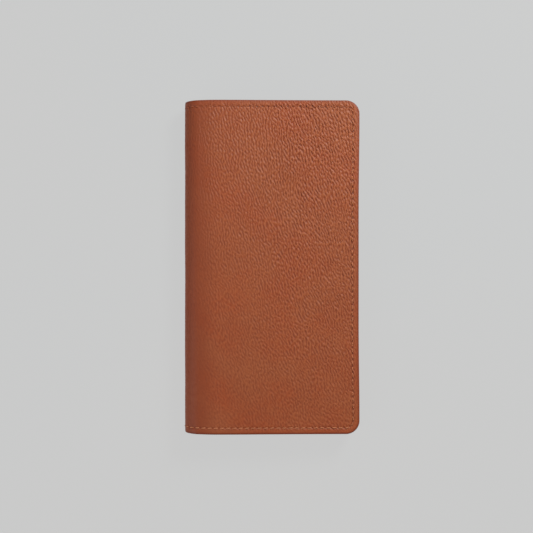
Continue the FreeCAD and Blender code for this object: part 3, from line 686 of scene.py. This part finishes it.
def thread_material(name, tone, lit):
    """Twisted waxed thread with painted shade between strands; sheet is (mm along, angle round, share
    of painted lit tone).
    """
    n = Nodes(name)
    parts = n.parts(n.sheet())
    turns = n.math("ADD", n.math("MULTIPLY", parts["X"], 7.0), n.math("MULTIPLY", parts["Y"], 2.0))
    twist = n.math("SINE", turns)
    thread_tone = n.mix(n.ramp(parts["Z"], 0.0, 1.0), tone, lit)
    # painted shade where the twist lies low
    shade = n.mix(n.ramp(twist, -0.9, 0.6, 0.45, 0.0), thread_tone, STRAND_GAP_SHADE)
    return n.finish(shade, 0.6, Normal=n.relief(twist, 0.7, 0.05 * MM), Specular_IOR_Level=0.3)


def woven_tape(name, tone):
    """Woven tape: crossing waves in the tape's own mm, a little uneven in colour."""
    n = Nodes(name)
    parts = n.parts(n.sheet())
    warp = n.math("SINE", n.math("MULTIPLY", parts["X"], 13.0))
    weft = n.math("SINE", n.math("MULTIPLY", parts["Y"], 10.0))
    weave = n.math("MULTIPLY", warp, weft)
    uneven = n.noise(n.sheet((1.0, 1.0, 0.0)), 1.2, 2.0)
    # painted shade where the weave lies low
    shade = n.mix(n.ramp(weave, -0.8, 0.8), times(tone, 0.6, 0.6, 0.6), tone)
    shade = n.mix(n.ramp(uneven, 0.4, 0.7, 0.0, 0.4), shade, times(tone, 0.7, 0.7, 0.7))
    return n.finish(shade, 0.8, Normal=n.relief(weave, 0.8, 0.06 * MM), Sheen_Weight=0.3)


def brass(name, polished):
    """Brass with fine scratches, duller in patches."""
    n = Nodes(name)
    where = n.add("ShaderNodeTexCoord").outputs["Object"]
    cloud = n.noise(where, 420.0, 4.0, 0.6)
    scratch = n.noise(n.scaled(where, (1.0, 9.0, 3.0)), 900.0, 3.0, 0.7)
    shade = n.mix(n.ramp(cloud, 0.35, 0.7), BRASS, BRASS_DULL)
    rough = n.ramp(cloud, 0.3, 0.75, polished, polished + 0.22)
    return n.finish(shade, rough, Normal=n.relief(scratch, 0.35, 0.03 * MM), Metallic=1.0)


def board_material(name, dark, pale):
    """Pressed board, in the covers where it isn't seen."""
    n = Nodes(name)
    fibre = n.noise(n.add("ShaderNodeTexCoord").outputs["Object"], 700.0, 4.0, 0.7)
    shade = n.mix(n.ramp(fibre, 0.35, 0.65), dark, pale)
    return n.finish(shade, 0.9, Normal=n.relief(fibre, 0.5, 0.05 * MM))


COVER_LEATHER = leather("cover_leather", TAN, 0.53, pores=0.04, valley=0.14, seam=True)
COVER_EDGE = edge_paint("cover_edge", colour(0.17, 0.046, 0.024))
POCKET_LEATHER = leather("pocket_leather", POCKET, 0.54, pores=0.03, pebbles=0.2, valley=0.06)
POCKET_EDGE = edge_paint("pocket_edge", colour(0.13, 0.036, 0.019))
LINING_LEATHER = leather("lining_leather", LINING_TONES, 0.66, pores=0.02, valley=0.06)
SEAM_THREAD = thread_material("seam_thread", THREAD, LIT_THREAD)
TAPE = woven_tape("zip_tape", colour(0.16, 0.060, 0.030))
ZIP_BRASS = brass("zip_brass", 0.26)
PULLER_BRASS = brass("puller_brass", 0.20)
BOARD = board_material("board", colour(0.30, 0.27, 0.23), colour(0.42, 0.39, 0.34))

# ---------------------------------------------------------------- covers

COVER_SEAM = Seam(SEAM_INSET, FOLD_MIDDLE)
STITCHES = round(COVER_SEAM.length / STITCH_PITCH)
PITCH = COVER_SEAM.length / STITCHES
LIT_ROW_INSET = SEAM_INSET + 1.5 * MM  # from the edge to where a row begins that stands proud and takes the thread's painted lit tone

GRAIN_DEPTH = 0.46 * MM
GRAIN_BY_PLACE = ((-90 * MM, -55 * MM, 5 * MM, 70 * MM), (0.42, 0.60, 0.77, 0.93))  # y, and part kept
GROOVE_DEPTH, GROOVE_WIDTH = 0.17 * MM, 0.55 * MM
DENT_DEPTH, DENT_WIDTH, DENT_LENGTH = 0.14 * MM, 0.40 * MM, 0.45 * MM
RIM_DROP, RIM_WIDTH = 0.25 * MM, 1.4 * MM
COVER_ROUNDING = 0.55 * MM
COVER_CELL_U, COVER_CELL_Y = 0.37 * MM, 0.62 * MM
SEAM_REACH, SEAM_CELL = 1.2 * MM, 0.22 * MM  # the finer grid beside the seam
RIM_REACH, RIM_CELL = 1.0 * MM, 0.30 * MM


def cover_relief(half):
    """How far the cover's grain, seam and rim stand proud of its plain surface."""

    def relief(u, y):
        s = across_fold(u, half)
        away, along = COVER_SEAM.of(u, y)
        near_fold = 1 - smooth(u, 0, 8 * MM)
        rim = smooth(away, 0.5 * MM, 2.0 * MM)
        pressed = bump(away, 0, 0.8 * MM)
        strength = (1 - 0.5 * near_fold) * (1 - 0.75 * rim) * (1 - 0.4 * pressed)
        strength *= 0.50 + 0.50 * smooth(u, 2 * MM, 62 * MM)
        strength *= np.interp(y, *GRAIN_BY_PLACE)
        mark = GRAIN_DEPTH * strength * grain(s, y)

        from_flat = np.minimum(np.abs(s), np.abs(s - 2 * FOLD_MIDDLE))
        wrinkle = sample_tile(y * 1.3, from_flat * 0.3)
        lift = mark + 0.012 * MM * near_fold * wrinkle
        lift += waves(s, y, 5, 38 * MM, 0.06 * MM)
        lift -= GROOVE_DEPTH * bump(away, 0, GROOVE_WIDTH)
        from_hole = (along / PITCH - np.round(along / PITCH)) * PITCH
        lift -= DENT_DEPTH * bump(away, 0, DENT_WIDTH) * bump(from_hole, 0, DENT_LENGTH)
        lift -= RIM_DROP * smooth(away, SEAM_INSET - RIM_WIDTH, SEAM_INSET) ** 2
        return lift, mark

    return relief


def cover(half):
    """One half of the cover leather, from the middle of the fold to the open side."""
    low, high = (FOLD_MIDDLE, -HALF_LENGTH), (FLAT, HALF_LENGTH)
    edge = COVER_ROUNDING
    # the grid is finest where the two halves meet, so that their faces join without a line
    u_marks = [
        (FLAT - SEAM_INSET, SEAM_REACH, SEAM_CELL),
        (FLAT, RIM_REACH, RIM_CELL),
        (FOLD_MIDDLE, 0.6 * MM, 0.12 * MM),
        (FOLD_MIDDLE, 0.12 * MM, 0.03 * MM),
    ]
    y_marks = [(side * (HALF_LENGTH - SEAM_INSET), SEAM_REACH, SEAM_CELL) for side in (-1, 1)]
    y_marks += [(side * HALF_LENGTH, RIM_REACH, RIM_CELL) for side in (-1, 1)]
    lines = (
        spaced(low[0], high[0] - edge, COVER_CELL_U, u_marks),
        spaced(low[1] + edge, high[1] - edge, COVER_CELL_Y, y_marks),
    )
    obj = slab(
        f"cover_{half}", half, low, high, (0, LEATHER), (0, 0, CORNER, CORNER),
        [COVER_LEATHER, COVER_EDGE], lines, cover_relief(half), edge, open_end=True,
    )
    sheet = np.zeros((len(obj.data.vertices), 3), np.float32)
    obj.data.attributes["sheet"].data.foreach_get("vector", sheet.ravel())
    u, y, mark = across_fold(sheet[:, 0] * MM, half), sheet[:, 1] * MM, sheet[:, 2]
    away, along = COVER_SEAM.of(u, y)
    inside_fold = smooth(np.abs(along / COVER_SEAM.length - 1.0), 0.0, 0.02)
    fading = 0.3 + 0.7 * smooth(u, 8 * MM, 40 * MM)
    # how deep the painted shade in the holes is: light on the lower row, fading towards the fold
    dark = np.where(y < 2 * SEAM_INSET - HALF_LENGTH, 0.25, 0.90 * fading) * inside_fold
    dark = np.where(mark == 0, 0.0, dark)  # edge and back have no grain mark, and no holes
    add_vector(obj, "seam", np.stack([away / MM, along / PITCH, dark], 1))
    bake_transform(obj)
    return obj


def cover_thread(half):
    """The outside seam. Its lower row lies proud, its upper one deep, and the side's between them."""
    places = (np.arange(STITCHES) + 0.5) * PITCH
    u, y, du, dy = COVER_SEAM.at(places)
    lower = smooth(-y, HALF_LENGTH - LIT_ROW_INSET, HALF_LENGTH - LIT_ROW_INSET + 1.3 * MM)
    side = 0.55 * smooth(u, FLAT - LIT_ROW_INSET, FLAT - LIT_ROW_INSET + 1.3 * MM)
    # how much each stitch takes the paler tone as painted light: the lower row fully, the side row
    # partly
    lit = np.maximum(lower, side)
    depth = (0.14 - 0.12 * lit) * MM
    rows = [(u, y, du, dy, depth, -1, STITCH_LENGTH, lit)]
    obj = stitch_rows(f"seam_thread_{half}", half, rows, width=THREAD_WIDTH)
    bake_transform(obj)
    return obj


def lining(half):
    """The lining's half, which follows the fold inside the cover leather."""
    edge, gap, cell = 0.2 * MM, 0.5 * MM, 2.2 * MM
    low, high = (FOLD_MIDDLE, gap - HALF_LENGTH), (FLAT - gap, HALF_LENGTH - gap)
    marks = [(FOLD_MIDDLE, 0.3 * MM, 0.06 * MM), (FOLD_MIDDLE / 2, -FOLD_MIDDLE, 0.6 * MM)]
    lines = (
        spaced(low[0], high[0] - edge, cell, marks),
        spaced(low[1] + edge, high[1] - edge, cell),
    )

    def relief(u, y):
        s = across_fold(u, half)
        ripple = np.sin(y / (3.1 * MM) + 2 * np.sin(s / (9 * MM)))
        return 0.05 * MM * bump(u, FOLD_MIDDLE, 12 * MM) * ripple, 0 * u

    obj = slab(
        f"lining_{half}", half, low, high, (LEATHER + LINING, LEATHER), (0, 0, CORNER, CORNER),
        [LINING_LEATHER, POCKET_EDGE], lines, relief, edge, open_end=True,
    )
    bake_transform(obj)
    return obj


covers = {half: cover(half) for half in BODY}
threads = {half: cover_thread(half) for half in BODY}
linings = {half: lining(half) for half in BODY}
for half in BODY:
    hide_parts(f"{half}_outer_leather", "fold_outer_leather")
    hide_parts(f"{half}_seam_thread", "fold_seam_thread")
    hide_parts(f"{half}_lining", "fold_lining")

# ---------------------------------------------------------------- pockets


CREASE_INSET, CREASE_WIDTH, CREASE_DEPTH = 2.0 * MM, 0.24 * MM, 0.14 * MM
LIP_REACH, LIP_CELL = 1.4 * MM, 0.17 * MM  # the finer grid beside a free side
PANEL_CORNER = 0.8 * MM
POCKET_MATERIALS = [POCKET_LEATHER, POCKET_EDGE]


def own_panel(node, half, name, lip=None, radii=(PANEL_CORNER,) * 4, step=0.9 * MM, seed=0):
    """A flat pocket panel in its CAD node's place. lip, its creased free side, is fold or high."""
    low, high = own_box(node, half)
    edge = 0.4 * (high[2] - low[2])
    u_marks = [(low[0] + LIP_REACH, LIP_REACH, LIP_CELL)] if lip == "fold" else []
    y_marks = [(high[1] - LIP_REACH, LIP_REACH, LIP_CELL)] if lip == "high" else []
    lines = (
        spaced(low[0] + edge, high[0] - edge, step, u_marks),
        spaced(low[1] + edge, high[1] - edge, step, y_marks),
    )

    def relief(u, y):
        mark = 0 * u
        total = waves(u, y, 30 + seed, 30 * MM, 0.04 * MM)
        if lip:
            in_from = (u - low[0]) if lip == "fold" else (high[1] - y)
            crease = bump(in_from, CREASE_INSET, CREASE_WIDTH)
            total = total - CREASE_DEPTH * crease + 0.04 * MM * bump(in_from, 1.0 * MM, 0.7 * MM)
            # the crease's mark gives it painted shade; a narrow band along the lip is darkened as edge
            # paint
            mark = mark - 0.10 * MM * crease - 0.12 * MM * bump(in_from, 0, 0.5 * MM)
        return total, mark

    levels = (high[2], low[2])
    obj = slab(name, half, low, high, levels, radii, POCKET_MATERIALS, lines, relief, edge, wrap=False)
    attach(obj, BODY[half])
    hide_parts(node)


for half in BODY:
    own_panel(f"{half}_note_panel", half, f"note_panel_{half}", "fold", (EASE, EASE, CORNER, CORNER),
              step=1.3 * MM)
for k in range(1, 5):
    own_panel(f"back_card_pocket_{k}", "back", f"card_pocket_back_{k}", "high", seed=k)
for k in range(1, 9):
    foot_corner = CORNER if k > 4 else EASE
    own_panel(f"front_card_pocket_{k}", "front", f"card_pocket_front_{k}", "high",
              (EASE, EASE, foot_corner, EASE), seed=k + 4)
own_panel("coin_pocket_back", "back", "coin_back", None, (EASE, EASE, CORNER, EASE), step=2.5 * MM)


ROUND_STEPS = 6  # of a rounded side
NOTE_GUSSET_WIDTH, COIN_GUSSET_WIDTH = 4.3 * MM, 3.4 * MM


def strip_section(width, low, high, bulge):
    """A strip's section as (out, h) corners, with its outer side a little round."""
    steps = [k / ROUND_STEPS for k in range(ROUND_STEPS + 1)]
    side = [(bulge * math.sin(math.pi * t), low + (high - low) * t) for t in steps]
    return side + [(-width, high), (-width, low)]


def note_gusset(half):
    """The strip round three sides of a note pocket."""
    low, high = own_box(f"{half}_note_gusset", half)
    way = Seam(0.25 * MM, 0.0)
    end, turned = way.length - way.run, way.run + way.arc
    places = [0.0]
    for stop, count in ((way.run, 40), (turned, 12), (end - way.arc, 70), (end, 12), (way.length, 40)):
        places += list(np.linspace(places[-1], stop, count)[1:])
    u, y, du, dy = way.at(places)
    section = strip_section(NOTE_GUSSET_WIDTH, low[2], high[2], 0.15 * MM)
    path, outwards = np.stack([u, y], 1), np.stack([-dy, du], 1)
    obj = sweep(
        f"note_gusset_{half}", half, path, outwards, section, [POCKET_LEATHER], closed=False, wrap=False
    )
    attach(obj, BODY[half])
    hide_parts(f"{half}_note_gusset")


for half in BODY:
    note_gusset(half)


def coin_gusset():
    """The ring that holds the coin pocket's back and front apart."""
    low, high = own_box("coin_pocket_gusset", "back")
    path = outline(low, high, (EASE, EASE, CORNER, EASE))
    section = strip_section(COIN_GUSSET_WIDTH, low[2], high[2], 0.0)
    outwards, materials = border_normals(path, True), [POCKET_LEATHER]
    obj = sweep("coin_gusset", "back", path, outwards, section, materials, closed=True, wrap=False)
    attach(obj, "back_half")
    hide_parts("coin_pocket_gusset")


WINDOW_LOW, WINDOW_HIGH, WINDOW_CORNER = -21.0 * MM, -13.0 * MM, 1.6 * MM
FACE_STEPS = (0.02, 0.05, 0.1, 0.16, 0.22, 0.3, 0.4, 0.5, 0.6, 0.7, 0.8, 0.87, 0.92, 0.96, 0.985)


def coin_front():
    """The coin pocket's leather: rings of points from its border to the zip's window cut out of it."""
    low, high = own_box("coin_pocket_front", "back")
    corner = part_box("coin_pocket_thread")
    edge = 0.25 * MM
    outer = outline(
        (low[0] + edge, low[1] + edge), (high[0] - edge, high[1] - edge), (EASE, EASE, CORNER, EASE), 60
    )
    window_low = (corner[0].x - FOLD_X - edge, WINDOW_LOW - edge)
    window_high = (corner[1].x - FOLD_X + edge, WINDOW_HIGH + edge)
    inner = outline(window_low, window_high, (WINDOW_CORNER,) * 4, 60)
    out, into = border_normals(outer, True), -border_normals(inner, True)
    middle, half_thick = (low[2] + high[2]) / 2, (high[2] - low[2]) / 2
    turns = [math.pi * k / ROUND_STEPS for k in range(ROUND_STEPS + 1)]

    def rounded(border, away, turn):
        h = middle + half_thick * math.cos(turn)
        return np.column_stack([border + away * edge * math.sin(turn), np.full(len(border), h)])

    rings = [rounded(outer, out, turn) for turn in turns[::-1]]
    for t in FACE_STEPS:
        flat = outer * (1 - t) + inner * t
        lift = waves(flat[:, 0], flat[:, 1], 41, 30 * MM, 0.04 * MM)
        rings.append(np.column_stack([flat, high[2] + lift]))
    rings += [rounded(inner, into, turn) for turn in turns]
    obj = loft("coin_front", "back", rings, [POCKET_LEATHER], closed=True, wrap=False)
    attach(obj, "back_half")
    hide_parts("coin_pocket_front")


coin_gusset()
coin_front()


def zip_tape(side):
    """One woven tape with a corded edge that the teeth sit on."""
    node = f"zip_tape_{side}"
    low, high = own_box(node, "back")
    inner_y = low[1] if side == "upper" else high[1]
    edge = 0.15 * MM
    lines = (
        spaced(low[0] + edge, high[0] - edge, 2 * MM),
        spaced(low[1] + edge, high[1] - edge, 0.8 * MM, [(inner_y, 1.2 * MM, 0.15 * MM)]),
    )

    def relief(u, y):
        return 0.22 * MM * bump(np.abs(y - inner_y), 0.55 * MM, 0.4 * MM), 0 * u

    obj = slab(
        f"tape_{side}", "back", low, high, (high[2], low[2]), (EASE,) * 4, [TAPE, TAPE], lines, relief,
        edge, wrap=False, soft=False,
    )
    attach(obj, "back_half")
    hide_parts(node)


zip_tape("upper")
zip_tape("lower")

# ---------------------------------------------------------------- thread inside


FOLD_SIDE_INSET, FOOT_INSET = 1.45 * MM, 1.75 * MM  # from a panel's edge to the row beside it


def run_of(start, end, level):
    """A straight row of stitches between two (u, y) points at one height."""
    start, end = np.array(start), np.array(end)
    length = np.linalg.norm(end - start)
    count = max(1, round(length / STITCH_PITCH))
    t = (np.arange(count) + 0.5) / count
    centres = start + t[:, None] * (end - start)
    direction = (end - start) / length
    ones = np.ones(count)
    stitch = min(INNER_STITCH_LENGTH, 0.72 * length / count)
    du, dy = direction
    return (centres[:, 0], centres[:, 1], ones * du, ones * dy, ones * level, 1, stitch, ones)


def steps_of(nodes, half):
    """(foot, lip, height) of each step of a bank of pockets, its front one first."""
    boxes = sorted((own_box(node, half) for node in nodes), key=lambda box: -box[1][2])
    foot, steps = boxes[0][0][1], []
    for box in boxes:
        steps.append((foot, box[1][1], box[1][2]))
        foot = box[1][1]
    return steps


def inner_thread(half, banks):
    """The seam round the inside of a half, which steps up over the pockets."""
    panel_low, panel_high = own_box(f"{half}_note_panel", half)
    left, right = panel_low[0] + FOLD_SIDE_INSET, FLAT - SEAM_INSET
    top, panel_level = HALF_LENGTH - SEAM_INSET, panel_high[2]
    clear = 0.5 * MM

    def across(y, level):
        return run_of((left + 2 * MM, y), (right - 1 * MM, y), level)

    rows, highest, foot_level = [], -HALF_LENGTH, panel_level
    for bank in banks:
        steps = steps_of(bank, half)
        if steps[0][0] < -top:
            foot_level = steps[0][2]
        else:
            rows.append(across(steps[0][0] + FOOT_INSET, steps[0][2]))
        for foot, lip, level in steps:
            start = max(foot, -top) + clear
            rows.append(run_of((right, start), (right, lip - clear), level))
            rows.append(run_of((left, start), (left, lip - clear), level))
        highest = max(highest, steps[-1][1])
    rows.append(run_of((right, highest + clear), (right, top - clear), panel_level))
    rows.append(across(top, panel_level))
    rows.append(across(-top, foot_level))
    obj = stitch_rows(f"inner_thread_{half}", half, rows, width=INNER_THREAD_WIDTH, wrap=False)
    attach(obj, BODY[half])
    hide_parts(f"{half}_inner_thread")


def coin_thread():
    """The rows above and below the zip's window."""
    low, high = own_box("coin_pocket_thread", "back")
    level = own_box("coin_pocket_front", "back")[1][2]
    ys = (low[1] + INNER_THREAD_WIDTH / 2, high[1] - INNER_THREAD_WIDTH / 2)
    rows = [run_of((low[0], y), (high[0], y), level) for y in ys]
    obj = stitch_rows("coin_thread", "back", rows, width=INNER_THREAD_WIDTH, wrap=False)
    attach(obj, "back_half")
    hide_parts("coin_pocket_thread")


def card_bank(half, numbers):
    """The nodes of one bank of card pockets."""
    return [f"{half}_card_pocket_{k}" for k in numbers]


inner_thread("back", [card_bank("back", range(1, 5)), ["coin_pocket_front"]])
inner_thread("front", [card_bank("front", range(1, 5)), card_bank("front", range(5, 9))])
coin_thread()

# ---------------------------------------------------------------- metal and board, kept as they are


def dress(node, material, bevel=None):
    """Gives a CAD node its material and, where it is cut metal, softened edges."""
    obj = frame["nodes"][node]
    obj.data.materials.clear()
    obj.data.materials.append(material)
    if bevel:
        soften = obj.modifiers.new("soften", "BEVEL")
        soften.width = bevel
        soften.segments = 2
        soften.limit_method = "ANGLE"
        soften.angle_limit = math.radians(35)
        soften.harden_normals = True


dress("zip_teeth_upper", ZIP_BRASS, 0.12 * MM)
dress("zip_teeth_lower", ZIP_BRASS, 0.12 * MM)
dress("zip_end_stops", ZIP_BRASS, 0.15 * MM)
dress("zip_slider", ZIP_BRASS, 0.25 * MM)
dress("zip_puller", PULLER_BRASS, 0.15 * MM)
dress("back_board", BOARD)
dress("front_board", BOARD)

# ---------------------------------------------------------------- floor, light and camera


FLOOR_GLOW = 0.565  # strength of its own light, which makes it as pale as the photograph's
FLOOR_REACH = 3.0
FLOOR_DROP = 0.6 * MM  # it lies under the back cover's grain
LIGHT_AIM = (0, 0, 10 * MM)
SKY_LIGHT = 0.30
SKY_TONE, BACKDROP_TONE = colour(0.80, 0.81, 0.82), colour(0.59, 0.59, 0.59)
CAMERA_PLACE = (-2.5 * MM, 0.4 * MM, 577 * MM)  # straight above, where it looks down by itself
CAMERA_LENS = 67.9


def floor():
    """A plain pale floor, in which the wallet's shadow stays faint."""
    n = Nodes("floor")
    cloud = n.noise(n.add("ShaderNodeTexCoord").outputs["Object"], 3.0, 2.0)
    shade = n.mix(n.ramp(cloud, 0.3, 0.7), colour(0.022, 0.022, 0.022), colour(0.023, 0.023, 0.023))
    glow = n.mix(n.ramp(cloud, 0.3, 0.7), colour(0.99, 1.0, 1.0), colour(1.0, 1.0, 0.995))
    material = n.finish(
        shade, 0.9, Emission_Color=glow, Emission_Strength=FLOOR_GLOW, Specular_IOR_Level=0.1
    )
    corners = ((-1, -1), (1, -1), (1, 1), (-1, 1))
    verts = [(x * FLOOR_REACH, y * FLOOR_REACH, 0) for x, y in corners]
    obj = make_piece("floor", verts, [[0, 1, 2, 3]], [material])
    obj.location.z = -FLOOR_DROP


def area_light(name, place_at, size, power, tint):
    """A square light that is turned towards the wallet."""
    data = bpy.data.lights.new(name, "AREA")
    data.shape = "SQUARE"
    data.size = size
    data.energy = power
    data.color = tint
    obj = bpy.data.objects.new(name, data)
    obj.location = place_at
    obj.rotation_euler = (Vector(LIGHT_AIM) - Vector(place_at)).to_track_quat("-Z", "Y").to_euler()
    bpy.context.scene.collection.objects.link(obj)


def sky():
    """An even grey sky, which the camera sees as pale as the floor."""
    made = bpy.data.worlds.new("sky")
    made.use_nodes = True
    nodes, links = made.node_tree.nodes, made.node_tree.links
    light = nodes["Background"]
    light.inputs["Color"].default_value = SKY_TONE
    light.inputs["Strength"].default_value = SKY_LIGHT
    seen = nodes.new("ShaderNodeBackground")
    seen.inputs["Color"].default_value = BACKDROP_TONE
    mixed = nodes.new("ShaderNodeMixShader")
    links.new(nodes.new("ShaderNodeLightPath").outputs["Is Camera Ray"], mixed.inputs[0])
    links.new(light.outputs[0], mixed.inputs[1])
    links.new(seen.outputs[0], mixed.inputs[2])
    links.new(mixed.outputs[0], nodes["World Output"].inputs["Surface"])
    return made


floor()
area_light("key", (0.34, 0.44, 0.46), size=0.22, power=6.9, tint=(0.95, 1.0, 0.97))
area_light("fill", (-0.7, -0.35, 0.55), size=0.8, power=4.1, tint=(1.0, 0.89, 0.90))
bpy.context.scene.world = sky()
bpy.context.scene.view_settings.view_transform = "Standard"

camera_data = bpy.data.cameras.new("camera")
camera_data.sensor_width = 36.0
camera_data.lens = CAMERA_LENS
camera = bpy.data.objects.new("camera", camera_data)
camera.location = CAMERA_PLACE
bpy.context.scene.collection.objects.link(camera)
bpy.context.scene.camera = camera
